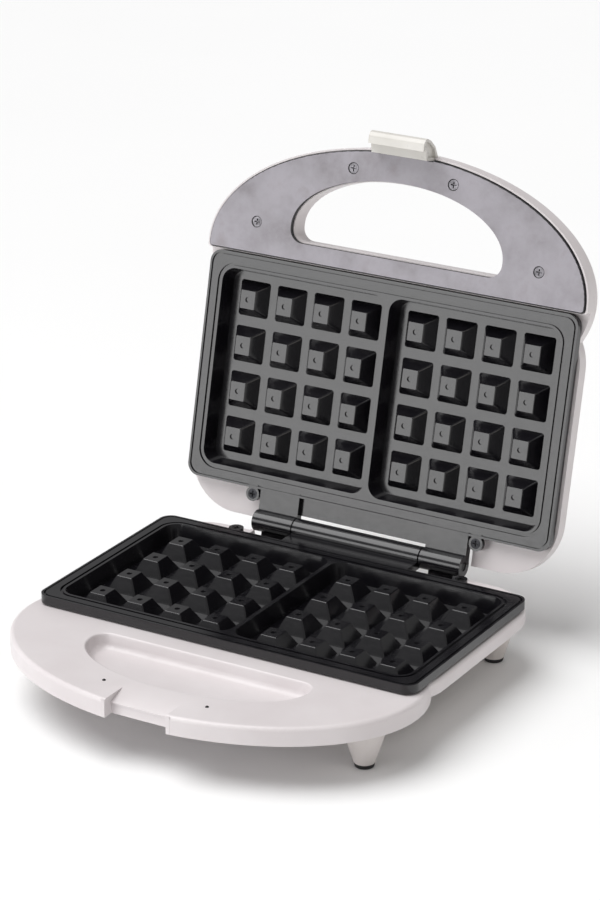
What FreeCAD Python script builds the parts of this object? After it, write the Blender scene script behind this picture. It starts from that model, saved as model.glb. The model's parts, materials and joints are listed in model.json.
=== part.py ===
"""Two-slice waffle maker: base, hinged lid and latch clip, as one FreeCAD document.

Axes: +X to the right, -Y to the front (the grip side), +Z up, origin on the surface the feet stand on,
under the centre of the lower plate. Millimetres.

Both halves are trays that face each other, so both are drawn in the same half frame: z = 0 is the
parting plane and z < 0 goes into the half. The base stands at its height. The lid is the same frame
turned over about Y and then swung open about the hinge rod.
"""
import FreeCAD, Part
import math
import os
import Sketcher

VEC = FreeCAD.Vector
X_DIR = VEC(1, 0, 0)
Y_DIR = VEC(0, 1, 0)
Z_DIR = VEC(0, 0, 1)

DIMENSIONS = {
    # whole object; overlap is how far one piece of material is sunk into its neighbour
    "parting_height": 42.3, "rim_gap": 0.3, "lid_open_angle": 103, "overlap": 1, "contact_gap": 0.05,
    # cooking plates
    "plate_width": 230, "plate_depth": 130, "plate_corner": 7, "plate_wall": 2.4, "plate_skirt": 4.9,
    "mould_width": 104.6, "mould_length": 112, "mould_corner": 8, "mould_offset": 53.6,
    "mould_depth": 10, "mould_draft": 12,
    "lip_width": 1.5, "lip_groove": 1.4, "edge_lip": 1.2, "edge_groove": 0.9, "groove_depth": 0.9,
    "stud_width": 19.2, "stud_length": 20.3, "stud_corner": 1.6, "stud_height": 8, "stud_edge": 0.5,
    "stud_draft": 31, "stud_pitch_across": 23.8, "stud_pitch_along": 26.2,
    "dimple_radius": 1.5, "dimple_depth": 0.8,
    # hinge: barrels, arms, web, ears and stops
    "hinge_setback": 82.5, "barrel_radius": 6, "rod_radius": 2.5, "running_gap": 0.06,
    "barrel_half": 40, "knuckle_start": 40.8, "knuckle_end": 66, "rod_half": 65.6,
    "arm_top": 0.8, "arm_step": 3.4, "arm_bottom": 5.2, "arm_land": 4.7, "web_top": 3.7, "web_end": 75.5,
    "ear_across": 71, "ear_line": 68.5, "ear_radius": 4.2, "ear_thickness": 3, "ear_top": 0.6,
    "ear_web_half": 3, "ear_sink": 1.3, "ear_boss_radius": 3.3, "ear_boss_top": 3.8, "ear_boss_length": 9.7,
    "stop_reach": 11, "stop_thickness": 4, "stop_width": 15.2, "ledge_top": 7.8, "ledge_height": 3.6,
    "ledge_gap": 2.75, "window_gap": 0.5,
    # housings
    "housing_width": 233, "housing_corner": 32, "housing_wall": 2.2, "housing_top": 6.2,
    "housing_side": 14, "housing_front": 66, "seat_width": 220, "seat_depth": 120, "seat_corner": 11.4,
    "notch_half": 67.2, "notch_line": 68.4,
    # deck of the base
    "deck_width": 238, "deck_reach": 80, "deck_line": 66, "apron_depth": 16.4, "edge_round": 2.4,
    "pocket_depth": 8, "pocket_draft": 14, "pocket_rim_round": 1.2, "bumper_line": 126,
    "bumper_radius": 1.1, "bumper_sunk": 0.4,
    # finger hole outline, shared by the pocket
    "finger_half": 66, "finger_reach": 33, "finger_line": 85.5, "finger_back": 76.3, "finger_corner": 8,
    # catch
    "catch_half": 18.3, "bevel_start": 128, "catch_wall": 138.4, "catch_drop": 9.6,
    "bead_depth": 1, "bead_reach": 0.8, "bead_lead": 0.3, "bead_return": 0.5,
    # bottom cover
    "cover_width": 226, "cover_depth": 128, "cover_corner": 26, "cover_draft": 42, "cover_height": 17,
    "cover_round": 4, "vent_pitch": 10, "vent_width": 3, "vent_length": 34,
    # cable entry
    "gland_across": -49, "gland_depth": 24.2, "gland_neck": 4.6, "gland_flange": 1.4, "gland_nose": 5,
    "gland_boss": 26, "gland_boss_run": 24, "cable_radius": 3.2,
    "clamp_width": 18, "clamp_line": 38, "clamp_run": 6, "clamp_height": 6.4,
    # legs and feet
    "leg_across": 96, "leg_front": 80, "rear_leg_across": 94, "rear_leg_line": 66,
    "leg_top_radius": 13, "leg_tip_radius": 5.6, "leg_tip": 40, "leg_wall": 2, "leg_socket": 4,
    "pillar_radius": 4.5, "pillar_bore": 6, "pad_radius": 5.6, "pad_chamfer": 0.6, "pad_tread": 2.3,
    "pad_plug": 1.8,
    # grip of the lid
    "grip_half": 118.5, "grip_reach": 66.5, "grip_line": 69.5, "grip_back": 65.6, "grip_corner": 2,
    "grip_rim": 1.8, "grip_depth": 15, "grip_wall": 3.3, "boss_radius": 4,
    "panel_inset": 1.5, "panel_thickness": 3, "panel_gap": 0.45, "panel_round": 0.5, "hole_inset": 0.6,
    "latch_slot_half": 17.5, "latch_slot_line": 131.4, "latch_slot_depth": 8.6, "panel_notch_line": 132.9,
    "outer_screw_across": 88, "outer_screw_line": 84, "inner_screw_across": 31, "inner_screw_line": 122.5,
    # dome of the lid and its lamps
    "dome_width": 225, "dome_depth": 134, "dome_corner": 28, "dome_height": 17, "dome_draft": 35,
    "dome_round": 7, "lamp_across": 14, "lamp_line": 44, "lamp_radius": 3.1, "lens_length": 3.6,
    "lens_proud": 0.6, "lens_flange": 0.8, "bulb_radius": 2.3, "bulb_length": 4.6, "holder_sheet": 1.2,
    "holder_depth": 12, "holder_end": 8,
    # latch clip
    "clip_half": 17.1, "clip_pivot_line": 133.6, "clip_pivot_depth": 6, "clip_pin_radius": 0.9,
    "clip_barrel": 1.8, "clip_round": 1.6, "clip_end_recess": 1.4,
    # screws: tapping screws cut their own bores, the panel screws are thicker
    "tapping_radius": 1.3, "tapping_gap": 0.06, "panel_sink": 3.3, "panel_screw_sunk": 0.4,
    "panel_screw_shank": 1.6, "panel_screw_length": 10, "ear_screw_head": 2.9, "ear_screw_length": 8,
    "leg_screw_head": 2.9, "leg_screw_length": 14, "leg_screw_sunk": 2,
    "shield_screw_head": 2.6, "shield_screw_length": 7, "plate_screw_head": 1.8, "plate_screw_length": 6.4,
    "rim_post_across": 110.2, "rim_post_along": 32, "rim_post_radius": 2.2,
    "post_across": 53.6, "post_along": 22, "post_radius": 4,
    # heating
    "heater_radius": 3.2, "heater_across": 88, "heater_along": 44, "heater_bend": 18, "heater_end": 15,
    "bush_radius": 3, "bush_length": 3, "pin_radius": 1.1, "pin_length": 5, "tab_width": 4.8,
    "tab_length": 3, "tab_sheet": 0.8,
    "shield_width": 206, "shield_depth": 108, "shield_corner": 20, "shield_sheet": 0.8, "shield_lip": 5,
    "shield_drop": 20.2,
    # switching and wiring inside the base
    "thermostat_radius": 8, "thermostat_height": 9, "thermostat_cap": 3, "thermostat_tabs": 4,
    "fuse_radius": 2, "fuse_length": 11, "fuse_line": -26, "fuse_lead_radius": 0.6, "fuse_leads": 24,
    "terminal_left": -58, "terminal_line": 12, "terminal_length": 26, "terminal_width": 12,
    "terminal_height": 5.6, "terminal_pitch": 9, "terminal_bore": 1.8, "terminal_floor": 2.6,
    "lead_radius": 1.2, "lead_level": 26, "lead_hole": 2.4, "lead_across": 15, "lead_line": 36,
}

doc = FreeCAD.newDocument("waffle_maker")
sheet = doc.addObject("Spreadsheet::Sheet", "Dims")
for row, (alias, value) in enumerate(DIMENSIONS.items(), start=1):
    sheet.set(f"A{row}", alias)
    sheet.set(f"B{row}", str(value))
    sheet.setAlias(f"B{row}", alias)
doc.recompute()

pieces = []


def size(formula):
    """The value of a formula of sheet cells, such as 'plate_width / 2'."""
    return float(sheet.evalExpression(bound(formula)))


def bound(formula):
    """The same formula with every alias written as a reference to the sheet."""
    words = str(formula).replace("(", "( ").replace(")", " )").split()
    return " ".join(f"Dims.{word}" if word in DIMENSIONS else word for word in words)


# ---------------------------------------------------------------- frames

HINGE_POINT = VEC(0, size("hinge_setback"), 0)
BASE_FRAME = FreeCAD.Placement(VEC(0, 0, size("parting_height")), FreeCAD.Rotation())
TURNED_OVER = FreeCAD.Placement(VEC(), FreeCAD.Rotation(Y_DIR, 180))
SWUNG_OPEN = FreeCAD.Placement(VEC(), FreeCAD.Rotation(X_DIR, -size("lid_open_angle")), HINGE_POINT)
LID_FRAME = BASE_FRAME * SWUNG_OPEN * TURNED_OVER


def keep(piece, frame):
    """Put a finished sub-part in its half's frame and list it for export."""
    piece.Placement = frame
    pieces.append(piece)
    return piece


# ---------------------------------------------------------------- sketches

def origin_feature(body, role):
    return next(item for item in body.Origin.OriginFeatures if item.Role == role)


def new_sketch(body, name, role="XY_Plane", height="0"):
    """A sketch on one of the body's origin planes, moved along the plane's normal."""
    sketch = body.newObject("Sketcher::SketchObject", f"{body.Name}_{name}")
    sketch.AttachmentSupport = [(origin_feature(body, role), "")]
    sketch.MapMode = "FlatFace"
    sketch.setExpression("AttachmentOffset.Base.z", bound(height))
    return sketch


def bind(sketch, kind, references, formula):
    """Add one dimension to a sketch and tie it to the sheet."""
    index = sketch.addConstraint(Sketcher.Constraint(kind, *references, size(formula)))
    sketch.setExpression(f"Constraints[{index}]", bound(formula))


def draw_rectangle(sketch, left, front, right, back):
    """A sharp rectangle between four lines given as formulas."""
    x0, y0, x1, y1 = size(left), size(front), size(right), size(back)
    corners = [VEC(x0, y0, 0), VEC(x1, y0, 0), VEC(x1, y1, 0), VEC(x0, y1, 0)]
    first = sketch.GeometryCount
    for index, corner in enumerate(corners):
        sketch.addGeometry(Part.LineSegment(corner, corners[(index + 1) % 4]), False)
    for index in range(4):
        following = first + (index + 1) % 4
        sketch.addConstraint(Sketcher.Constraint("Coincident", first + index, 2, following, 1))
        direction = "Vertical" if index % 2 else "Horizontal"
        sketch.addConstraint(Sketcher.Constraint(direction, first + index))
    bind(sketch, "DistanceX", (-1, 1, first, 1), left)
    bind(sketch, "DistanceY", (-1, 1, first, 1), front)
    bind(sketch, "DistanceX", (-1, 1, first + 2, 1), right)
    bind(sketch, "DistanceY", (-1, 1, first + 2, 1), back)


def draw_rounded(sketch, middle_x, middle_y, width, depth, radius):
    """A rectangle with round corners about a middle point; every size is a formula."""
    cx, cy, r = size(middle_x), size(middle_y), size(radius)
    hx, hy = size(width) / 2, size(depth) / 2
    first = sketch.GeometryCount
    centres = [(cx + hx - r, cy - hy + r), (cx + hx - r, cy + hy - r),
               (cx - hx + r, cy + hy - r), (cx - hx + r, cy - hy + r)]
    for index, (ax, ay) in enumerate(centres):
        start = -math.pi / 2 + index * math.pi / 2
        circle = Part.Circle(VEC(ax, ay, 0), Z_DIR, r)
        sketch.addGeometry(Part.ArcOfCircle(circle, start, start + math.pi / 2), False)
    for index in range(4):
        arc_end = sketch.getPoint(first + index, 2)
        next_start = sketch.getPoint(first + (index + 1) % 4, 1)
        sketch.addGeometry(Part.LineSegment(arc_end, next_start), False)
    for index in range(4):
        line = first + 4 + index
        sketch.addConstraint(Sketcher.Constraint("Tangent", first + index, 2, line, 1))
        sketch.addConstraint(Sketcher.Constraint("Tangent", line, 2, first + (index + 1) % 4, 1))
        direction = "Horizontal" if index % 2 else "Vertical"
        sketch.addConstraint(Sketcher.Constraint(direction, line))
    for index in range(1, 4):
        sketch.addConstraint(Sketcher.Constraint("Equal", first, first + index))
    bind(sketch, "Radius", (first,), radius)
    bind(sketch, "DistanceX", (-1, 1, first + 4, 1), f"{middle_x} + ( {width} ) / 2")
    bind(sketch, "DistanceX", (-1, 1, first + 6, 1), f"{middle_x} - ( {width} ) / 2")
    bind(sketch, "DistanceY", (-1, 1, first + 5, 1), f"{middle_y} + ( {depth} ) / 2")
    bind(sketch, "DistanceY", (-1, 1, first + 7, 1), f"{middle_y} - ( {depth} ) / 2")


def draw_polygon(sketch, corners):
    """A closed outline through corners given in millimetres."""
    points = [VEC(across, up, 0) for across, up in corners]
    for index, point in enumerate(points):
        sketch.addGeometry(Part.LineSegment(point, points[(index + 1) % len(points)]), False)
    for index in range(len(points)):
        following = (index + 1) % len(points)
        sketch.addConstraint(Sketcher.Constraint("Coincident", index, 2, following, 1))


def draw_circle(sketch, middle_x, middle_y, radius):
    index = sketch.GeometryCount
    sketch.addGeometry(Part.Circle(VEC(size(middle_x), size(middle_y), 0), Z_DIR, size(radius)), False)
    bind(sketch, "Radius", (index,), radius)
    bind(sketch, "DistanceX", (-1, 1, index, 3), middle_x)
    bind(sketch, "DistanceY", (-1, 1, index, 3), middle_y)


def draw_ellipse(sketch, middle_y, half_width, reach):
    """A full ellipse centred on x = 0, wider than it is deep."""
    ellipse = Part.Ellipse(VEC(0, size(middle_y), 0), size(half_width), size(reach))
    index = sketch.GeometryCount
    sketch.addGeometry(ellipse, False)
    sketch.exposeInternalGeometry(index)
    major, minor = index + 1, index + 2
    sketch.addConstraint(Sketcher.Constraint("Horizontal", major))
    bind(sketch, "Distance", (major,), f"( {half_width} ) * 2")
    bind(sketch, "Distance", (minor,), f"( {reach} ) * 2")
    bind(sketch, "DistanceX", (-1, 1, index, 3), "0")
    bind(sketch, "DistanceY", (-1, 1, index, 3), middle_y)


def draw_grip_outline(sketch, half_width, reach, arc_line, back_line, corner):
    """A D: half an ellipse at the front, straight sides, a straight back and two round back corners."""
    a, b = size(half_width), size(reach)
    y_arc, y_back, r = size(arc_line), size(back_line), size(corner)
    ellipse = Part.Ellipse(VEC(0, y_arc, 0), a, b)
    first = sketch.GeometryCount
    sketch.addGeometry(Part.ArcOfEllipse(ellipse, math.pi, 2 * math.pi), False)
    right = Part.Circle(VEC(a - r, y_back - r, 0), Z_DIR, r)
    left = Part.Circle(VEC(r - a, y_back - r, 0), Z_DIR, r)
    sketch.addGeometry(Part.LineSegment(VEC(a, y_arc, 0), VEC(a, y_back - r, 0)), False)
    sketch.addGeometry(Part.ArcOfCircle(right, 0, math.pi / 2), False)
    sketch.addGeometry(Part.LineSegment(VEC(a - r, y_back, 0), VEC(r - a, y_back, 0)), False)
    sketch.addGeometry(Part.ArcOfCircle(left, math.pi / 2, math.pi), False)
    sketch.addGeometry(Part.LineSegment(VEC(-a, y_back - r, 0), VEC(-a, y_arc, 0)), False)
    ends = [(0, 2, 1, 1), (1, 2, 2, 1), (2, 2, 3, 1), (3, 2, 4, 1), (4, 2, 5, 1), (5, 2, 0, 1)]
    for one, one_end, other, other_end in ends:
        pair = (first + one, one_end, first + other, other_end)
        sketch.addConstraint(Sketcher.Constraint("Coincident", *pair))
    bind(sketch, "Radius", (first + 2,), corner)
    bind(sketch, "DistanceX", (-1, 1, first + 1, 1), half_width)
    bind(sketch, "DistanceY", (-1, 1, first + 1, 1), arc_line)
    bind(sketch, "DistanceY", (-1, 1, first + 3, 1), back_line)


# ---------------------------------------------------------------- features

def new_body(label):
    body = doc.addObject("PartDesign::Body", label)
    body.Label = label
    return body


def pad(body, sketch, length, down=False, draft=None, both_ways=False):
    feature = body.newObject("PartDesign::Pad", f"{sketch.Name}_pad")
    feature.Profile = sketch
    feature.Refine = False
    feature.setExpression("Length", bound(length))
    feature.Reversed = down
    feature.Midplane = both_ways
    if draft:
        feature.setExpression("TaperAngle", bound(draft))
    sketch.Visibility = False
    doc.recompute()
    return feature


def pocket(body, sketch, depth=None, up=False, draft=None, both_ways=False):
    """Cut down from the sketch, or up, or through everything when no depth is given."""
    before = body.Shape.Volume
    feature = body.newObject("PartDesign::Pocket", f"{sketch.Name}_pocket")
    feature.Profile = sketch
    feature.Refine = False
    feature.Reversed = up
    feature.Midplane = both_ways
    if depth is None:
        feature.Type = "ThroughAll"
    else:
        feature.setExpression("Length", bound(depth))
    if draft:
        feature.setExpression("TaperAngle", bound(draft))
    doc.recompute()
    if body.Shape.Volume >= before - 1e-3:
        raise RuntimeError(f"{feature.Name} cuts nothing")
    return feature


def edges_where(shape, test):
    """Names of the edges whose points all pass a test."""
    names = []
    for index, edge in enumerate(shape.Edges, start=1):
        points = [edge.valueAt(edge.FirstParameter + part * (edge.LastParameter - edge.FirstParameter))
                  for part in (0.02, 0.5, 0.98)]
        if all(test(point) for point in points):
            names.append(f"Edge{index}")
    return names


def fillet(body, radius, test):
    """Round the edges of the body's tip that pass a test."""
    base = body.Tip
    names = edges_where(base.Shape, test)
    if not names:
        raise RuntimeError(f"{body.Name}: no edge to round")
    feature = body.newObject("PartDesign::Fillet", f"{body.Name}_round{len(body.Group)}")
    feature.Base = (base, names)
    feature.setExpression("Radius", bound(radius))
    doc.recompute()
    return feature


def pattern(body, originals, across=None, along=None, mirror=False):
    """Repeat features in a grid and, where asked, to the other side of x = 0."""
    grid = body.newObject("PartDesign::MultiTransform", f"{body.Name}_grid{len(body.Group)}")
    grid.Originals = originals
    grid.Refine = False
    steps = []
    for axis, spec in (("X_Axis", across), ("Y_Axis", along)):
        if spec:
            spacing, count = spec
            row = body.newObject("PartDesign::LinearPattern", f"{grid.Name}_{axis}")
            row.Direction = (origin_feature(body, axis), [""])
            row.setExpression("Length", bound(f"( {spacing} ) * {count - 1}"))
            row.Occurrences = count
            steps.append(row)
    if mirror:
        other_side = body.newObject("PartDesign::Mirrored", f"{grid.Name}_mirror")
        other_side.MirrorPlane = (origin_feature(body, "YZ_Plane"), [""])
        steps.append(other_side)
    grid.Transformations = steps
    body.Tip = grid
    doc.recompute()
    return grid


# ---------------------------------------------------------------- cooking plates

RIM = "0 - rim_gap"
PANEL_BACK = "rim_gap + panel_thickness + contact_gap"
COVER_TOP = "0 - housing_side - 0.2"
COVER_FLOOR = f"{COVER_TOP} - cover_height + housing_wall + contact_gap"
KNUCKLE_MIDDLE = "( knuckle_start + knuckle_end ) / 2"
LEG_ROWS = (("front", "leg_across", "0 - leg_front", "apron_depth"),
            ("rear", "rear_leg_across", "rear_leg_line", "housing_side"))
MOULD_FLOOR = "0 - rim_gap - mould_depth"
PLATE_BELLY = "0 - rim_gap - mould_depth - plate_wall"
HEATER_LEVEL = f"{PLATE_BELLY} - heater_radius - contact_gap"
PANEL_SCREWS = (("outer_screw_across", "outer_screw_line"), ("inner_screw_across", "inner_screw_line"))
TAPPING_SHANK = "tapping_radius - tapping_gap"
SHALLOW_CORNER = 0.6  # how much of an inset the plate's corner radius loses


def draw_mould_pair(sketch, grow="0"):
    """The outline of both moulds, grown by the same amount all round."""
    for side in ("0 - mould_offset", "mould_offset"):
        draw_rounded(sketch, side, "0", f"mould_width + 2 * ( {grow} )", f"mould_length + 2 * ( {grow} )",
                     f"mould_corner + ( {grow} )")


def draw_plate_ring(sketch, outer_inset, inner_inset):
    """A band that runs round the plate between two insets from its edge."""
    for inset in (outer_inset, inner_inset):
        draw_rounded(sketch, "0", "0", f"plate_width - 2 * ( {inset} )", f"plate_depth - 2 * ( {inset} )",
                     f"plate_corner - ( {inset} ) * {SHALLOW_CORNER}")


def draw_lip_groove(sketch):
    """The groove just outside the raised lip that frames both moulds together."""
    for grow in ("lip_width", "lip_width + lip_groove"):
        draw_rounded(sketch, "0", "0", f"2 * mould_offset + mould_width + 2 * ( {grow} )",
                     f"mould_length + 2 * ( {grow} )", f"mould_corner + ( {grow} )")


def rounded_wire(width, depth, radius, height):
    """A closed rectangle with round corners, centred on the Z axis, in plain millimetres."""
    plate = Part.makeBox(width, depth, 1, VEC(-width / 2, -depth / 2, height))
    upright = [edge for edge in plate.Edges if abs(edge.BoundBox.ZLength - 1) < 1e-6]
    rounded = plate.makeFillet(radius, upright)
    floor = min(rounded.Faces, key=lambda face: face.CenterOfMass.z)
    return floor.OuterWire


def stud_shape():
    """One blunt pyramid standing on z = 0, with a chamfered top and a dimple."""
    flank_height = size("stud_height - stud_edge")
    shrink = 2 * flank_height * math.tan(math.radians(size("stud_draft")))
    width, depth, corner = size("stud_width"), size("stud_length"), size("stud_corner")
    chamfer = 2 * size("stud_edge")
    levels = [(width, depth, corner, 0),
              (width - shrink, depth - shrink, corner / 2, flank_height),
              (width - shrink - chamfer, depth - shrink - chamfer, corner / 4, size("stud_height"))]
    solids = []
    for lower, upper in zip(levels, levels[1:]):
        solids.append(Part.makeLoft([rounded_wire(*lower), rounded_wire(*upper)], True, True))
    stud = solids[0].fuse(solids[1]).removeSplitter()
    dimple = Part.makeCylinder(size("dimple_radius"), 2, VEC(0, 0, size("stud_height - dimple_depth")))
    return stud.cut(dimple)


def stud_grid():
    """Every stud of both moulds, sunk slightly into the mould floor so that they join it."""
    stud = stud_shape()
    floor = size(MOULD_FLOOR)
    studs = []
    for side in (-1, 1):
        for column in (-1.5, -0.5, 0.5, 1.5):
            for row in (-1.5, -0.5, 0.5, 1.5):
                x = side * size("mould_offset") + column * size("stud_pitch_across")
                y = row * size("stud_pitch_along")
                studs.append(stud.translated(VEC(x, y, floor)))
    return studs


def add_knuckle(body, name, start, end, mirror):
    """One hinge knuckle: a barrel on the hinge line, and the arm that carries it."""
    middle = f"( ( {start} ) + ( {end} ) ) / 2"
    length = f"( {end} ) - ( {start} )"
    features = []
    profiles = [
        ("land", "plate_depth / 2 - plate_wall", "hinge_setback - plate_depth / 2 - arm_land",
         "0 - rim_gap - arm_bottom", "0 - arm_top"),
        ("arm", "plate_depth / 2", "hinge_setback - plate_depth / 2",
         "0 - rim_gap - arm_bottom", "0 - arm_step"),
    ]
    for part, from_y, run, low, high in profiles:
        sketch = new_sketch(body, f"{name}_{part}", "YZ_Plane", middle)
        draw_rectangle(sketch, from_y, low, f"plate_depth / 2 + {run}", high)
        features.append(pad(body, sketch, length, both_ways=True))
    sketch = new_sketch(body, f"{name}_barrel", "YZ_Plane", middle)
    draw_circle(sketch, "hinge_setback", "0", "barrel_radius")
    features.append(pad(body, sketch, length, both_ways=True))
    if mirror:
        pattern(body, features, mirror=True)


def griddle_plate(label, frame, outer_knuckles):
    """A cast plate: rim, skirt, two moulds with studs, screw posts, ears and hinge knuckles."""
    body = new_body(f"{label}_casting")
    sketch = new_sketch(body, "slab", height=RIM)
    draw_rounded(sketch, "0", "0", "plate_width", "plate_depth", "plate_corner")
    pad(body, sketch, "plate_wall", down=True)
    sketch = new_sketch(body, "skirt", height=RIM)
    draw_plate_ring(sketch, "0", "plate_wall")
    pad(body, sketch, "plate_skirt", down=True)
    sketch = new_sketch(body, "tubs", height=RIM)
    draw_rounded(sketch, "0", "0", "2 * mould_offset + mould_width + 2 * plate_wall",
                 "mould_length + 2 * plate_wall", "mould_corner + plate_wall")
    pad(body, sketch, "mould_depth + plate_wall", down=True)
    fillet(body, "plate_wall", lambda p: abs(p.z - size(PLATE_BELLY)) < 0.01)

    sketch = new_sketch(body, "edge_groove", height=RIM)
    draw_plate_ring(sketch, "edge_lip", "edge_lip + edge_groove")
    pocket(body, sketch, "groove_depth")
    sketch = new_sketch(body, "lip_groove", height=RIM)
    draw_lip_groove(sketch)
    pocket(body, sketch, "groove_depth")
    sketch = new_sketch(body, "moulds", height=RIM)
    draw_mould_pair(sketch)
    pocket(body, sketch, "mould_depth", draft="0 - mould_draft")

    sketch = new_sketch(body, "rim_posts", height="0 - rim_gap - plate_wall")
    for along in ("rim_post_along", "0 - rim_post_along"):
        draw_circle(sketch, "rim_post_across", along, "rim_post_radius")
        draw_circle(sketch, "rim_post_across", along, "tapping_radius")
    posts = pad(body, sketch, "housing_top - rim_gap - plate_wall", down=True)
    pattern(body, [posts], mirror=True)
    sketch = new_sketch(body, "shield_posts", height=PLATE_BELLY)
    for across in ("post_across", "0 - post_across"):
        for along in ("post_along", "0 - post_along"):
            draw_circle(sketch, across, along, "post_radius")
            draw_circle(sketch, across, along, "tapping_radius")
    pad(body, sketch, "shield_drop - rim_gap - mould_depth - plate_wall", down=True)

    if outer_knuckles:
        add_knuckle(body, "knuckle", "knuckle_start", "knuckle_end", mirror=True)
        add_hinge_web(body)
        add_stop_lugs(body)
    else:
        add_knuckle(body, "knuckle", "0 - barrel_half", "barrel_half", mirror=False)
        add_stop_ledges(body)
    add_ears(body)
    sketch = new_sketch(body, "rod_hole", "YZ_Plane")
    draw_circle(sketch, "hinge_setback", "0", "rod_radius + running_gap" if outer_knuckles else "rod_radius")
    pocket(body, sketch, both_ways=True)
    plate = doc.addObject("Part::Feature", label)
    plate.Shape = body.Shape.fuse(stud_grid())
    return keep(plate, frame)


def add_hinge_web(body):
    """A web that joins the outer knuckles behind the other plate's barrel."""
    sketch = new_sketch(body, "hinge_web", "YZ_Plane")
    draw_rectangle(sketch, "plate_depth / 2 - plate_wall", "0 - rim_gap - arm_bottom", "web_end",
                   "0 - web_top")
    pad(body, sketch, "( knuckle_start + overlap ) * 2", both_ways=True)


def add_ears(body):
    """Round ears beside the outer knuckles, each with a countersunk screw hole."""
    steps = []
    sketch = new_sketch(body, "ears", height="0 - ear_top")
    draw_circle(sketch, "ear_across", "ear_line", "ear_radius")
    steps.append(pad(body, sketch, "ear_thickness", down=True))
    sketch = new_sketch(body, "ear_web", height="0 - ear_top")
    draw_rectangle(sketch, "ear_across - ear_web_half", "plate_depth / 2 - plate_wall",
                   "ear_across + ear_web_half", "ear_line")
    steps.append(pad(body, sketch, "ear_thickness", down=True))
    sketch = new_sketch(body, "ear_sink", height="0 - ear_top")
    draw_circle(sketch, "ear_across", "ear_line", "ear_screw_head")
    steps.append(pocket(body, sketch, "ear_sink", draft="0 - 45"))
    sketch = new_sketch(body, "ear_bore", height="0 - ear_top")
    draw_circle(sketch, "ear_across", "ear_line", "ear_screw_head - ear_sink + contact_gap")
    steps.append(pocket(body, sketch, "ear_thickness + overlap"))
    pattern(body, steps, mirror=True)


def add_stop_lugs(body):
    """Lugs on the outer knuckles that meet the other plate's ledges when the lid is fully open."""
    sketch = new_sketch(body, "stop", "YZ_Plane", KNUCKLE_MIDDLE)
    draw_rectangle(sketch, "hinge_setback", "0 - stop_thickness / 2",
                   "hinge_setback + stop_reach", "stop_thickness / 2")
    lug = pad(body, sketch, "stop_width", both_ways=True)
    pattern(body, [lug], mirror=True)


def add_stop_ledges(body):
    """Ledges under the outer knuckles that the lid's lugs come to rest against."""
    sketch = new_sketch(body, "ledge", "YZ_Plane", KNUCKLE_MIDDLE)
    draw_rectangle(sketch, "mould_length / 2 + plate_wall - overlap", "0 - ledge_top - ledge_height",
                   "hinge_setback - stop_thickness / 2 - ledge_gap", "0 - ledge_top")
    ledge = pad(body, sketch, "stop_width", both_ways=True)
    pattern(body, [ledge], mirror=True)


# ---------------------------------------------------------------- base half

def draw_tray(sketch, inset="0", length="0"):
    """The rounded oblong that both housings share, inset all round."""
    middle = "( hinge_setback - housing_front ) / 2"
    draw_rounded(sketch, "0", middle, f"housing_width - 2 * ( {inset} )",
                 f"hinge_setback + housing_front - 2 * ( {inset} )", f"housing_corner - ( {inset} )")


def cut_hinge_bay(body):
    """Open the back of a housing around the hinge."""
    sketch = new_sketch(body, "bay", height="0")
    draw_rectangle(sketch, "0 - notch_half", "notch_line", "notch_half", "hinge_setback + overlap")
    pocket(body, sketch)


def add_bay_wall(body):
    """The wall that closes the housing in front of the hinge, with its two cheeks."""
    sketch = new_sketch(body, "bay_wall", height="0 - housing_top")
    draw_rectangle(sketch, "0 - notch_half - housing_wall", "notch_line - housing_wall",
                   "notch_half + housing_wall", "hinge_setback - overlap / 2")
    pad(body, sketch, "housing_side - housing_top - overlap / 2", down=True)


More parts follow.
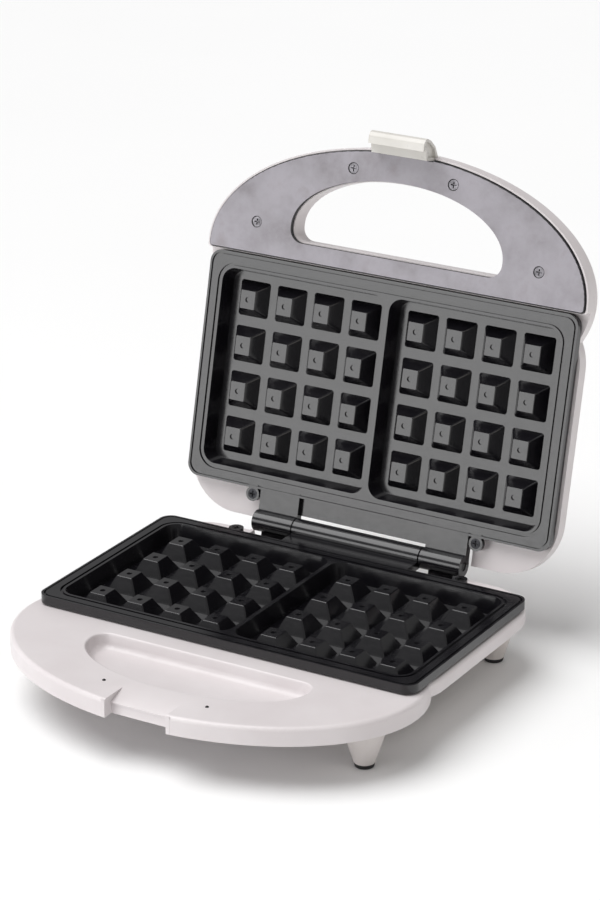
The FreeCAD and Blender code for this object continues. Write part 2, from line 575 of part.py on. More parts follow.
def base_housing():
    """The base shell: plate seat, D deck with finger pocket and latch catch, open underneath."""
    body = new_body("base_housing")
    sketch = new_sketch(body, "tray", height="0 - housing_top")
    draw_tray(sketch)
    pad(body, sketch, "housing_side - housing_top", down=True)
    sketch = new_sketch(body, "deck", height="0 - housing_top")
    draw_ellipse(sketch, "0 - deck_line", "deck_width / 2", "deck_reach")
    pad(body, sketch, "apron_depth - housing_top", down=True)
    top = size("0 - housing_top")
    fillet(body, "edge_round", lambda p: abs(p.z - top) < 0.01)

    sketch = new_sketch(body, "hollow", height="0 - housing_top - housing_wall")
    draw_tray(sketch, "housing_wall")
    pocket(body, sketch)
    sketch = new_sketch(body, "deck_hollow", height="0 - housing_top - housing_wall")
    draw_ellipse(sketch, "0 - deck_line", "deck_width / 2 - housing_wall", "deck_reach - housing_wall")
    pocket(body, sketch)

    sketch = new_sketch(body, "pocket_tub", height="0 - housing_top - housing_wall / 2")
    draw_grip_outline(sketch, "finger_half + housing_wall", "finger_reach + housing_wall",
                      "0 - finger_line", "housing_wall - finger_back", "finger_corner + housing_wall")
    pad(body, sketch, "pocket_depth + housing_wall / 2", down=True)
    sketch = new_sketch(body, "catch_block", height="0 - housing_top - overlap / 2")
    draw_rectangle(sketch, "0 - catch_half - housing_wall", "housing_wall / 2 - deck_line - deck_reach",
                   "catch_half + housing_wall", "0 - bevel_start")
    pad(body, sketch, "apron_depth - housing_top - overlap / 2", down=True)
    add_bay_wall(body)
    cut_hinge_bay(body)

    sketch = new_sketch(body, "seat", height="0")
    draw_rounded(sketch, "0", "0", "seat_width", "seat_depth", "seat_corner")
    pocket(body, sketch, "housing_top + housing_wall + overlap")
    sketch = new_sketch(body, "finger_pocket", height="0 - housing_top")
    draw_grip_outline(sketch, "finger_half", "finger_reach", "0 - finger_line", "0 - finger_back",
                      "finger_corner")
    pocket(body, sketch, "pocket_depth", draft="0 - pocket_draft")
    floor, half = size("0 - housing_top - pocket_depth"), size("finger_half") + 0.1
    back, front_line = -size("finger_back") + 0.1, -size("finger_line + finger_reach") - 0.1

    def around_pocket(point, level):
        return abs(point.z - level) < 0.01 and abs(point.x) < half and front_line < point.y < back

    fillet(body, "pocket_depth / 2", lambda p: around_pocket(p, floor))
    fillet(body, "pocket_rim_round", lambda p: around_pocket(p, top))
    cut_catch(body)
    add_ear_bosses(body)
    add_screw_seats(body)
    sketch = new_sketch(body, "ledge_windows", "YZ_Plane", KNUCKLE_MIDDLE)
    draw_rectangle(sketch, "seat_depth / 2 - overlap", "0 - ledge_top - ledge_height - window_gap",
                   "notch_line + overlap", "window_gap - ledge_top")
    window = pocket(body, sketch, "stop_width + 2 * window_gap", both_ways=True)
    pattern(body, [window], mirror=True)
    return keep(body, BASE_FRAME)


def add_ear_bosses(body):
    """Bosses that the plate's ears are screwed down to, beside the hinge bay."""
    bosses = new_sketch(body, "ear_bosses", height="0 - ear_boss_top")
    bores = new_sketch(body, "ear_boss_bores", height="0 - ear_boss_top")
    for across in ("ear_across", "0 - ear_across"):
        draw_circle(bosses, across, "ear_line", "ear_boss_radius")
        draw_circle(bores, across, "ear_line", "tapping_radius")
    pad(body, bosses, "ear_boss_length", down=True)
    pocket(body, bores, "ear_boss_length - overlap")


def cut_catch(body):
    """The latch catch: a bevel down to an upright wall whose top edge carries a bead."""
    sketch = new_sketch(body, "catch", "YZ_Plane")
    y_bevel, y_wall = -size("bevel_start"), -size("catch_wall")
    z_top, z_wall = -size("housing_top"), -size("catch_drop")
    z_bead, y_bead = z_wall - size("bead_depth"), y_wall - size("bead_reach")
    lead_in, way_back = size("bead_lead"), size("bead_return")
    z_low, y_out = -size("apron_depth + overlap"), -size("deck_line + deck_reach + overlap")
    draw_polygon(sketch, [(y_bevel, z_top), (y_wall, z_wall), (y_bead, z_wall - lead_in), (y_bead, z_bead),
                          (y_wall, z_bead - way_back), (y_wall, z_low), (y_out, z_low), (y_out, 0),
                          (y_bevel, 0)])
    bind(sketch, "DistanceX", (-1, 1, 0, 1), "0 - bevel_start")
    bind(sketch, "DistanceX", (-1, 1, 1, 1), "0 - catch_wall")
    bind(sketch, "DistanceY", (-1, 1, 1, 1), "0 - catch_drop")
    pocket(body, sketch, "catch_half * 2", both_ways=True)


def add_screw_seats(body):
    """Holes for the plate screws, and pillars under the deck and body for the leg screws."""
    add_plate_screw_holes(body)
    for row, across, along, reach in LEG_ROWS:
        pillars = new_sketch(body, f"{row}_pillars", height="0 - housing_top - housing_wall / 2")
        bores = new_sketch(body, f"{row}_pillar_bores", height=f"0 - ( {reach} )")
        for side in ("", "0 - "):
            draw_circle(pillars, f"{side}{across}", along, "pillar_radius")
            draw_circle(bores, f"{side}{across}", along, "tapping_radius")
        pad(body, pillars, f"{reach} - housing_top - housing_wall / 2", down=True)
        pocket(body, bores, "pillar_bore", up=True)


def add_plate_screw_holes(body):
    sketch = new_sketch(body, "plate_screw_holes", height="0 - housing_top")
    for across in ("rim_post_across", "0 - rim_post_across"):
        for along in ("rim_post_along", "0 - rim_post_along"):
            draw_circle(sketch, across, along, "tapping_radius + 2 * contact_gap")
    pocket(body, sketch, "housing_wall + overlap")


def bottom_cover():
    """The pan under the body: sloping sides, flat floor, vents, a boss for the cable gland."""
    body = new_body("bottom_cover")
    sketch = new_sketch(body, "pan", height=COVER_TOP)
    draw_rounded(sketch, "0", "0", "cover_width", "cover_depth", "cover_corner")
    pad(body, sketch, "cover_height", down=True, draft="0 - cover_draft")
    floor = size(COVER_TOP) - size("cover_height")
    fillet(body, "cover_round", lambda p: abs(p.z - floor) < 0.01)
    sketch = new_sketch(body, "gland_boss", "XZ_Plane", "0 - cover_depth / 2")
    draw_rectangle(sketch, "gland_across - gland_boss / 2", f"{COVER_TOP} - cover_height + overlap",
                   "gland_across + gland_boss / 2", COVER_TOP)
    pad(body, sketch, "gland_boss_run")
    outside = body.Shape.copy()

    sketch = new_sketch(body, "hollow", height=COVER_TOP)
    draw_rounded(sketch, "0", "0", "cover_width - 2 * housing_wall", "cover_depth - 2 * housing_wall",
                 "cover_corner - housing_wall")
    pocket(body, sketch, "cover_height - housing_wall", draft="0 - cover_draft")
    sketch = new_sketch(body, "boss_hollow", "XZ_Plane", "housing_wall - cover_depth / 2")
    draw_rectangle(sketch, "gland_across - gland_boss / 2 + housing_wall",
                   f"{COVER_TOP} - cover_height + overlap + housing_wall",
                   "gland_across + gland_boss / 2 - housing_wall", f"{COVER_TOP} + overlap")
    pocket(body, sketch, "gland_boss_run", up=True)
    sketch = new_sketch(body, "gland_hole", "XZ_Plane", "0 - cover_depth / 2 - overlap")
    draw_circle(sketch, "gland_across", "0 - gland_depth", "gland_neck")
    pocket(body, sketch, "housing_wall + 2 * overlap", up=True)
    sketch = new_sketch(body, "vent", height=f"{COVER_TOP} - cover_height")
    draw_rounded(sketch, "0 - vent_pitch * 4", "0", "vent_width", "vent_length",
                 "vent_width / 2 - contact_gap")
    vent = pocket(body, sketch, "housing_wall + overlap", up=True)
    pattern(body, [vent], across=("vent_pitch", 9))
    keep(body, BASE_FRAME)
    return outside


# ---------------------------------------------------------------- primitives and groups

def primitive(kind, name, at, axis="Z", **sizes):
    """A Part primitive whose sizes and place are formulas; its own axis runs along X, Y or Z."""
    solid = doc.addObject(f"Part::{kind}", name)
    turn = {"X": FreeCAD.Rotation(Y_DIR, 90), "Y": FreeCAD.Rotation(X_DIR, -90), "Z": FreeCAD.Rotation()}
    solid.Placement = FreeCAD.Placement(VEC(), turn[axis])
    for letter, formula in zip("xyz", at):
        solid.setExpression(f"Placement.Base.{letter}", bound(formula))
    for name_of_size, formula in sizes.items():
        solid.setExpression(name_of_size, bound(formula))
    return solid


def fused(label, *solids):
    result = doc.addObject("Part::MultiFuse", label)
    result.Shapes = list(solids)
    doc.recompute()
    return result


def cut(label, base, tool):
    result = doc.addObject("Part::Cut", label)
    result.Base = base
    result.Tool = tool
    doc.recompute()
    return result


def shaped(label, shape, frame):
    """A sub-part whose shape is worked out by Part's own functions from the sheet's sizes."""
    piece = doc.addObject("Part::Feature", label)
    piece.Shape = shape
    return keep(piece, frame)


# proportions of a pan-head screw and its cross recess, as parts of the head's radius
HEAD_HEIGHT, HEAD_ROUND, CROSS_WIDTH, CROSS_REACH, CROSS_DEPTH = 0.6, 0.27, 0.24, 1.25, 0.45
POINT_RADIUS = 0.2


def screw(head_radius, shank_radius, length, countersunk):
    """A cross-head screw that hangs down from its head's top at z = 0."""
    if countersunk:
        sink = head_radius - shank_radius
        head = Part.makeCone(shank_radius, head_radius, sink, VEC(0, 0, -sink))
        head_height = sink
    else:
        head_height = head_radius * HEAD_HEIGHT
        head = Part.makeCylinder(head_radius, head_height, VEC(0, 0, -head_height))
        rim = [edge for edge in head.Edges if edge.BoundBox.ZMin > -0.01 and edge.BoundBox.XLength > 1]
        head = head.makeFillet(head_radius * HEAD_ROUND, rim)
    shank = Part.makeCylinder(shank_radius, length - head_height - shank_radius,
                              VEC(0, 0, shank_radius - length))
    point = Part.makeCone(POINT_RADIUS, shank_radius, shank_radius, VEC(0, 0, -length))
    solid = head.fuse([shank, point])
    width, reach, sunk = (head_radius * part for part in (CROSS_WIDTH, CROSS_REACH, CROSS_DEPTH))
    for across, along in ((width, reach), (reach, width)):
        solid = solid.cut(Part.makeBox(across, along, 2 * sunk, VEC(-across / 2, -along / 2, -sunk)))
    return solid


def screw_group(label, places, frame, head, shank, length, countersunk=False, upward=False):
    """Identical screws as separate solids of one node; their sizes are formulas."""
    one = screw(size(head), size(shank), size(length), countersunk)
    if upward:
        one.rotate(VEC(), X_DIR, 180)
    return shaped(label, Part.makeCompound([one.translated(VEC(*place)) for place in places]), frame)


def four_places(across, along, height):
    return [(x, y, height) for x in (-across, across) for y in (-along, along)]


# ---------------------------------------------------------------- legs and feet

def add_legs(pan_solid):
    """Four tapered hollow legs with rubber tips; the rear pair is shaped to fit against the pan."""
    tip_level, tip_radius = size("leg_tip"), size("leg_tip_radius")
    top_radius, wall = size("leg_top_radius"), size("leg_wall")
    screw_places, pads = [], []
    for row, across_name, line, reach in LEG_ROWS:
        along, top = size(line), size(f"{reach} + 2 * contact_gap")
        for side, across in (("left", -size(across_name)), ("right", size(across_name))):
            foot = VEC(across, along, -tip_level)
            cone = Part.makeCone(tip_radius, top_radius, tip_level - top, foot)
            socket = Part.makeCylinder(tip_radius - wall, size("leg_socket"), foot)
            bore = Part.makeCylinder(size("tapping_radius") * 1.25, tip_level, foot)
            leg = cone.cut([socket, bore])
            if row == "rear":
                leg = leg.cut(pan_solid)
            shaped(f"leg_{row}_{side}", leg, BASE_FRAME)
            screw_places.append((across, along, size("leg_socket - leg_screw_sunk") - tip_level))
            tread = Part.makeCone(size("pad_radius - pad_chamfer"), size("pad_radius"), size("pad_tread"),
                                  VEC(across, along, -size("parting_height")))
            plug = Part.makeCylinder(tip_radius - wall - 2 * size("contact_gap"), size("pad_plug"), foot)
            pads.append(tread.fuse(plug))
    shaped("foot_pads", Part.makeCompound(pads), BASE_FRAME)
    return screw_places


# ---------------------------------------------------------------- heating

def heater(label, frame):
    """A tubular element in an open loop under both moulds, with its cold ends at the back."""
    body = new_body(label)
    across, along = size("heater_across"), size("heater_along")
    bend, end = size("heater_bend"), size("heater_end")
    spine = new_sketch(body, "spine", height=HEATER_LEVEL)
    corners = [(-across, along), (-across, -along), (across, -along), (across, along)]
    centres = [(math.copysign(across - bend, x), math.copysign(along - bend, y)) for x, y in corners]
    starts = [math.pi / 2, math.pi, 3 * math.pi / 2, 0]
    point = VEC(-end, along, 0)
    for (cx, cy), start in zip(centres, starts):
        arc = Part.ArcOfCircle(Part.Circle(VEC(cx, cy, 0), Z_DIR, bend), start, start + math.pi / 2)
        spine.addGeometry(Part.LineSegment(point, arc.StartPoint), False)
        spine.addGeometry(arc, False)
        point = arc.EndPoint
    spine.addGeometry(Part.LineSegment(point, VEC(end, along, 0)), False)
    for index in range(spine.GeometryCount):
        spine.addConstraint(Sketcher.Constraint("Block", index))
    profile = new_sketch(body, "section", "YZ_Plane", "0 - heater_end")
    draw_circle(profile, "heater_along", HEATER_LEVEL, "heater_radius")
    tube = body.newObject("PartDesign::AdditivePipe", f"{label}_tube")
    tube.Profile = profile
    tube.Spine = spine
    doc.recompute()
    return keep(body, frame)


def heater_ends(prefix, frame):
    """Ceramic bushes on the element's two cold ends, and the flat tabs that carry the leads."""
    bush_length, pin_length = size("bush_length"), size("pin_length")
    long, wide, sheet_thickness = size("tab_length"), size("tab_width"), size("tab_sheet")
    bushes, tabs = [], []
    for side in (-1, 1):
        start = VEC(side * size("heater_end"), size("heater_along"), size(HEATER_LEVEL))
        inward = VEC(-side, 0, 0)
        bushes.append(Part.makeCylinder(size("bush_radius"), bush_length, start, inward))
        pin = Part.makeCylinder(size("pin_radius"), pin_length, start + inward * bush_length, inward)
        middle = start + inward * (bush_length + pin_length + long / 3)
        blade = Part.makeBox(long, wide, sheet_thickness, middle - VEC(long, wide, sheet_thickness) / 2)
        tabs.append(pin.fuse(blade))
    shaped(f"{prefix}_heater_insulators", Part.makeCompound(bushes), frame)
    shaped(f"{prefix}_heater_tabs", Part.makeCompound(tabs), frame)


def heat_shield(label, frame):
    """A folded sheet tray that throws the element's heat back at the plate."""
    body = new_body(label)
    sketch = new_sketch(body, "sheet", height="0 - shield_drop")
    draw_rounded(sketch, "0", "0", "shield_width", "shield_depth", "shield_corner")
    for across in ("post_across", "0 - post_across"):
        for along in ("post_along", "0 - post_along"):
            draw_circle(sketch, across, along, "tapping_radius * 1.25")
    draw_circle(sketch, "0", "0", "thermostat_radius + 2 * tab_sheet")
    for across in ("lead_across", "0 - lead_across"):
        for along in ("lead_line", "fuse_line"):
            draw_circle(sketch, across, along, "lead_hole")
    pad(body, sketch, "shield_sheet", down=True)
    sketch = new_sketch(body, "lip", height="0 - shield_drop")
    draw_rounded(sketch, "0", "0", "shield_width", "shield_depth", "shield_corner")
    draw_rounded(sketch, "0", "0", "shield_width - 2 * shield_sheet", "shield_depth - 2 * shield_sheet",
                 "shield_corner - shield_sheet")
    pad(body, sketch, "shield_lip")
    return keep(body, frame)


def heating_set(prefix, frame):
    """Element, ends, shield and the screws of one half."""
    heater(f"{prefix}_heater", frame)
    heater_ends(prefix, frame)
    heat_shield(f"{prefix}_heat_shield", frame)
    for kind, under, across, along in (
            ("shield", "shield_drop + shield_sheet", "post_across", "post_along"),
            ("plate", "housing_top + housing_wall", "rim_post_across", "rim_post_along")):
        head_height = size(f"{kind}_screw_head") * HEAD_HEIGHT
        places = four_places(size(across), size(along), -size(under) - head_height)
        screw_group(f"{prefix}_{kind}_screws", places, frame, f"{kind}_screw_head", TAPPING_SHANK,
                    f"{kind}_screw_length", upward=True)


# ---------------------------------------------------------------- parts inside the base

def thermostat():
    """A bimetal disc thermostat held against the plate between the moulds."""
    top = f"{PLATE_BELLY} - contact_gap"
    case_foot = f"{top} - thermostat_height"
    cap_foot = f"{case_foot} - thermostat_cap"
    case = primitive("Cylinder", "thermostat_case", ("0", "0", case_foot),
                     Radius="thermostat_radius", Height="thermostat_height")
    cap = primitive("Cylinder", "thermostat_neck", ("0", "0", cap_foot),
                    Radius="thermostat_radius * 0.75", Height="thermostat_cap")
    tabs = [primitive("Box", f"thermostat_tab{side}", (left, "0 - tab_width / 2", f"{cap_foot} - tab_length"),
                      Length="tab_sheet", Width="tab_width", Height="tab_length")
            for side, left in enumerate(("0 - thermostat_tabs", "thermostat_tabs - tab_sheet"))]
    return keep(fused("thermostat", case, cap, *tabs), BASE_FRAME)


def thermal_fuse():
    """A fuse cartridge lying against the plate's belly."""
    level = f"{PLATE_BELLY} - fuse_radius - 2 * contact_gap"
    barrel = primitive("Cylinder", "fuse_barrel", ("0 - fuse_length / 2", "fuse_line", level), "X",
                       Radius="fuse_radius", Height="fuse_length")
    ends = primitive("Cylinder", "fuse_ends", ("0 - fuse_leads / 2", "fuse_line", level), "X",
                     Radius="fuse_lead_radius", Height="fuse_leads")
    return keep(fused("thermal_fuse", barrel, ends), BASE_FRAME)


def terminal_block():
    """A three-way screw terminal block on the pan's floor."""
    block = primitive("Box", "terminal_case", ("terminal_left", "terminal_line", COVER_FLOOR),
                      Length="terminal_length", Width="terminal_width", Height="terminal_height")
    first, line = "terminal_left + terminal_length / 2 - terminal_pitch", "terminal_line + terminal_width / 2"
    wells = [primitive("Cylinder", f"terminal_well{index}",
                       (f"{first} + terminal_pitch * {index}", line, f"{COVER_FLOOR} + terminal_floor"),
                       Radius="terminal_bore", Height="terminal_height") for index in range(3)]
    return keep(cut("terminal_block", block, fused("terminal_wells", *wells)), BASE_FRAME)


def cable_gland():
    """The collar that the mains cable enters through, and the clamp behind it."""
    outside, level = "cover_depth / 2", "0 - gland_depth"
    inside = f"{outside} - housing_wall - contact_gap * 8"
    neck = primitive("Cylinder", "gland_throat", ("gland_across", inside, level), "Y",
                     Radius="gland_neck - 2 * contact_gap", Height="housing_wall + 2 * overlap")
    flange = primitive("Cylinder", "gland_collar", ("gland_across", f"{outside} + contact_gap", level), "Y",
                       Radius="gland_neck + gland_flange", Height="2 * overlap")
    nose = primitive("Cone", "gland_taper", ("gland_across", f"{outside} + 2 * overlap", level), "Y",
                     Radius1="gland_neck", Radius2="gland_neck - overlap / 2", Height="gland_nose")
    bore = primitive("Cylinder", "gland_bore", ("gland_across", f"{inside} - overlap", level), "Y",
                     Radius="cable_radius", Height="housing_wall + gland_nose + 5 * overlap")
    keep(cut("cord_gland", fused("gland_body", neck, flange, nose), bore), BASE_FRAME)
    saddle = primitive("Box", "clamp_saddle", ("gland_across - clamp_width / 2", "clamp_line", COVER_FLOOR),
                       Length="clamp_width", Width="clamp_run", Height="clamp_height")
    groove = primitive("Cylinder", "clamp_groove", ("gland_across", "clamp_line - overlap", level), "Y",
                       Radius="cable_radius", Height="clamp_run + 2 * overlap")
    keep(cut("cord_clamp", saddle, groove), BASE_FRAME)


def lead(points, radius):
    """An insulated lead as straight runs with ball joints between them."""
    runs = [Part.makeSphere(radius, VEC(*points[0]))]
    for start, end in zip(points, points[1:]):
        step = VEC(*end) - VEC(*start)
        runs.append(Part.makeCylinder(radius, step.Length, VEC(*start), step))
        runs.append(Part.makeSphere(radius, VEC(*end)))
    return runs[0].fuse(runs[1:])


def deck_bumpers():
    """Two small pips on the deck that the grip's panel settles on."""
    radius, top = size("bumper_radius"), -size("housing_top")
    pips = []
    for side in (-1, 1):
        foot = VEC(side * size("inner_screw_across"), -size("bumper_line"), top)
        ball = Part.makeSphere(radius, foot - Z_DIR * size("bumper_sunk"))
        pips.append(ball.common(Part.makeCylinder(2 * radius, 2 * radius, foot)))
    return shaped("deck_bumpers", Part.makeCompound(pips), BASE_FRAME)


def rod(label, frame, line, depth, radius, half_length):
    """A plain pin along X, through a point of the half frame given by its distance in front or behind."""
    body = new_body(label)
    sketch = new_sketch(body, "section", "YZ_Plane")
    draw_circle(sketch, line, depth, radius)
    pad(body, sketch, f"( {half_length} ) * 2", both_ways=True)
    return keep(body, frame)


def base_wiring():
    """Leads from the terminal block through the fuse and the thermostat to the element."""
    radius, low, high = size("lead_radius"), -size("lead_level"), size(HEATER_LEVEL)
    crossing = low + 2 * radius + 0.2
    across, rear, front = size("lead_across"), size("lead_line"), size("fuse_line")
    near, far = size("terminal_line + 2"), size("terminal_line + terminal_width - 2")
    block_end = size("terminal_left + terminal_length") + radius + 0.1
    around = -size("thermostat_radius") * 3
    fuse_end, fuse_level = size("fuse_leads") / 2 + radius + 0.2, size(f"{PLATE_BELLY} - fuse_radius")
    blade = size("thermostat_tabs") + radius + 0.2
    tab, tab_line = size("heater_end - bush_length - pin_length - tab_length / 3"), size("heater_along - 4")
    runs = [
        [(block_end, near, low), (around, near, low), (around, front, low), (-across, front, low),
         (-across, front, high), (-fuse_end, front, fuse_level)],
        [(fuse_end, front, fuse_level), (across, front, high), (across, front, low), (across, 0, low),
         (blade, 0, low)],
        [(-blade, 0, low), (-across, 0, low), (-across, rear, low), (-across, rear, high),
         (-tab, tab_line, high)],
        [(tab, tab_line, high), (across, rear, high), (across, rear, crossing), (across, far, crossing),
         (block_end, far, crossing)],
    ]
    return shaped("base_wiring", Part.makeCompound([lead(points, radius) for points in runs]), BASE_FRAME)


# ---------------------------------------------------------------- lid half

def lid_housing():
    """The lid shell: tray round the plate, domed top, hollow grip with a finger hole and latch slot."""
    body = new_body("lid_housing")
    sketch = new_sketch(body, "grip_skirt", height="0 - housing_top")
    draw_ellipse(sketch, "0 - grip_line", "grip_half", "grip_reach")
    pad(body, sketch, "grip_depth - housing_top", down=True)
    outer = size("0 - grip_depth")
    fillet(body, "edge_round", lambda p: abs(p.z - outer) < 0.01)
    sketch = new_sketch(body, "dome", height="0 - housing_side")
    draw_rounded(sketch, "0", "0", "dome_width", "dome_depth", "dome_corner")
    pad(body, sketch, "dome_height", down=True, draft="0 - dome_draft")
    dome_top = size("0 - housing_side - dome_height")
    fillet(body, "dome_round", lambda p: abs(p.z - dome_top) < 0.01)
    sketch = new_sketch(body, "tray", height="0 - housing_top")
    draw_tray(sketch)
    pad(body, sketch, "housing_side - housing_top", down=True)
    sketch = new_sketch(body, "grip_wall", height="0 - grip_rim")
    draw_grip_outline(sketch, "grip_half", "grip_reach", "0 - grip_line", "0 - grip_back", "grip_corner")
    pad(body, sketch, "housing_top - grip_rim + overlap", down=True)

    sketch = new_sketch(body, "hollow", height="0 - housing_top - housing_wall")
    draw_tray(sketch, "housing_wall")
    pocket(body, sketch, "housing_side - housing_top - housing_wall + contact_gap")
    sketch = new_sketch(body, "dome_hollow", height="0 - housing_side")
    draw_rounded(sketch, "0", "0", "dome_width - 2 * housing_wall", "dome_depth - 2 * housing_wall",
                 "dome_corner - housing_wall")
    pocket(body, sketch, "dome_height - housing_wall", draft="0 - dome_draft")
    sketch = new_sketch(body, "grip_hollow", height="0")
    draw_grip_outline(sketch, "grip_half - grip_wall", "grip_reach - grip_wall * 2",
                      "0 - grip_line - grip_wall", "0 - grip_back - grip_wall", "grip_corner")
    pocket(body, sketch, "grip_depth - housing_wall")
    sketch = new_sketch(body, "panel_seat", height="0")
    draw_grip_outline(sketch, "grip_half - panel_inset + panel_gap", "grip_reach - panel_inset + panel_gap",
                      "0 - grip_line", "panel_gap - grip_back - panel_inset / 2", "grip_corner")
    pocket(body, sketch, PANEL_BACK)

    add_grip_walls(body)
    add_bay_wall(body)
    cut_hinge_bay(body)
    sketch = new_sketch(body, "seat", height="0")
    draw_rounded(sketch, "0", "0", "seat_width", "seat_depth", "seat_corner")
    pocket(body, sketch, "housing_top + housing_wall + overlap")
    cut_grip_openings(body)
    add_ear_bosses(body)
    add_plate_screw_holes(body)
    sketch = new_sketch(body, "lamp_holes", height="0 - housing_side")
    for across in ("lamp_across", "0 - lamp_across"):
        draw_circle(sketch, across, "0 - lamp_line", "lamp_radius + contact_gap")
    pocket(body, sketch, "dome_height + overlap")
    return keep(body, LID_FRAME)


def add_grip_walls(body):
    """Walls round the finger hole and the latch slot, and the pillars that the panel is screwed to."""
    walls = new_sketch(body, "hole_wall", height=f"0 - ( {PANEL_BACK} )")
    grow = "housing_wall - hole_inset"
    draw_grip_outline(walls, f"finger_half + {grow}", f"finger_reach + {grow}", "0 - finger_line",
                      "housing_wall - finger_back", "finger_corner")
    block = new_sketch(body, "slot_block", height=f"0 - ( {PANEL_BACK} )")
    draw_rectangle(block, "0 - latch_slot_half - housing_wall", "panel_inset - grip_line - grip_reach",
                   "latch_slot_half + housing_wall", "housing_wall - latch_slot_line")
    pillars = new_sketch(body, "pillars", height=f"0 - ( {PANEL_BACK} )")
    draw_panel_circles(pillars, "boss_radius")
    for sketch in (walls, block, pillars):
        pad(body, sketch, f"grip_depth - housing_wall / 2 - ( {PANEL_BACK} )", down=True)


def draw_panel_circles(sketch, radius):
    """A circle at each of the four places where the panel is screwed on."""
    for across, line in PANEL_SCREWS:
        for side in ("", "0 - "):
            draw_circle(sketch, f"{side}{across}", f"0 - {line}", radius)


def cut_grip_openings(body):
    """The finger hole, the latch slot with its pin bores, and the bores in the pillars."""
    hole = new_sketch(body, "finger_hole", height="0")
    draw_grip_outline(hole, "finger_half - hole_inset", "finger_reach - hole_inset", "0 - finger_line",
                      "0 - finger_back - hole_inset", "finger_corner - hole_inset")
    pocket(body, hole)
    slot = new_sketch(body, "latch_slot", height="0")
    draw_rectangle(slot, "0 - latch_slot_half", "0 - grip_line - grip_reach - overlap", "latch_slot_half",
                   "0 - latch_slot_line")
    pocket(body, slot, "latch_slot_depth")
    pin_bore = new_sketch(body, "pin_bore", "YZ_Plane")
    draw_circle(pin_bore, "0 - clip_pivot_line", "0 - clip_pivot_depth", "clip_pin_radius")
    pocket(body, pin_bore, "( latch_slot_half + housing_wall * 0.8 ) * 2", both_ways=True)
    bores = new_sketch(body, "pillar_bores", height=f"0 - ( {PANEL_BACK} )")
    draw_panel_circles(bores, "panel_screw_shank + contact_gap")
    pocket(body, bores, "panel_screw_length - 2 * overlap")


def handle_panel():
    """The flat panel that closes the grip, with the finger hole, latch notch and four sunk holes."""
    body = new_body("handle_panel")
    sketch = new_sketch(body, "face", height=RIM)
    draw_grip_outline(sketch, "grip_half - panel_inset", "grip_reach - panel_inset", "0 - grip_line",
                      "0 - grip_back - panel_inset / 2", "grip_corner")
    pad(body, sketch, "panel_thickness", down=True)
    face = size(RIM)
    fillet(body, "panel_round", lambda p: abs(p.z - face) < 0.01)
    sketch = new_sketch(body, "finger_hole", height="0")
    draw_grip_outline(sketch, "finger_half", "finger_reach", "0 - finger_line", "0 - finger_back",
                      "finger_corner")
    pocket(body, sketch)
    sketch = new_sketch(body, "latch_notch", height="0")
    draw_rectangle(sketch, "0 - latch_slot_half", "0 - grip_line - grip_reach - overlap",
                   "latch_slot_half", "0 - panel_notch_line")
    pocket(body, sketch)
    sinks = new_sketch(body, "sinks", height=RIM)
    draw_panel_circles(sinks, "panel_sink")
    pocket(body, sinks, "panel_sink - panel_screw_shank", draft="0 - 45")
    bores = new_sketch(body, "bores", height=RIM)
    draw_panel_circles(bores, "panel_screw_shank + contact_gap")
    pocket(body, bores)
    return keep(body, LID_FRAME)


def latch_clip():
    """The clip that swings down over the front of the base and hooks under the catch's bead."""
    body = new_body("latch_clip")
    pivot, depth = size("clip_pivot_line"), size("clip_pivot_depth")
    inner, barrel = pivot + 0.1, size("clip_barrel")
    hook, bead = size("catch_wall"), size("catch_drop + bead_depth")
    back = [(-hook - 4.4, bead + 1.8), (-hook - 6.6, bead + 0.6), (-hook - 7.4, bead - 1.6),
            (-hook - 6.2, 4.6), (-hook - 3, -1)]
    front = [(-inner, barrel - depth), (-inner, 7.2), (-hook - 1.1, bead - 1.4), (-hook - 1.1, bead + 0.4),
             (-hook - 0.4, bead + 0.4), (-hook - 0.4, bead + 1.8)]
    section = new_sketch(body, "section", "YZ_Plane")
    draw_polygon(section, front + back + [(-pivot - barrel, -depth)])
    pad(body, section, "clip_half * 2", both_ways=True)
    corners = {(round(y, 3), round(z, 3)) for y, z in back}
    fillet(body, "clip_round", lambda p: (round(p.y, 3), round(p.z, 3)) in corners)
    for side, start in (("left", "0 - clip_half"), ("right", "clip_half")):
        recess = new_sketch(body, f"{side}_recess", "YZ_Plane", start)
        draw_polygon(recess, [(-inner - 1.6, -3), (-inner - 1.6, 6), (-hook - 2.4, bead - 2.4),
                              (-hook - 2.4, bead + 0.4), (-hook - 4.2, bead + 0.4), (-hook - 5.9, bead - 1.7),
                              (-hook - 4.8, 5), (-hook - 1.6, -0.4)])
        pocket(body, recess, "clip_end_recess", up=side == "left")
    barrel_sketch = new_sketch(body, "barrel", "YZ_Plane")
    draw_circle(barrel_sketch, "0 - clip_pivot_line", "0 - clip_pivot_depth", "clip_barrel")
    pad(body, barrel_sketch, "clip_half * 2", both_ways=True)
    bore = new_sketch(body, "pin_bore", "YZ_Plane")
    draw_circle(bore, "0 - clip_pivot_line", "0 - clip_pivot_depth", "clip_pin_radius + running_gap")
    pocket(body, bore, both_ways=True)
    return keep(body, LID_FRAME)


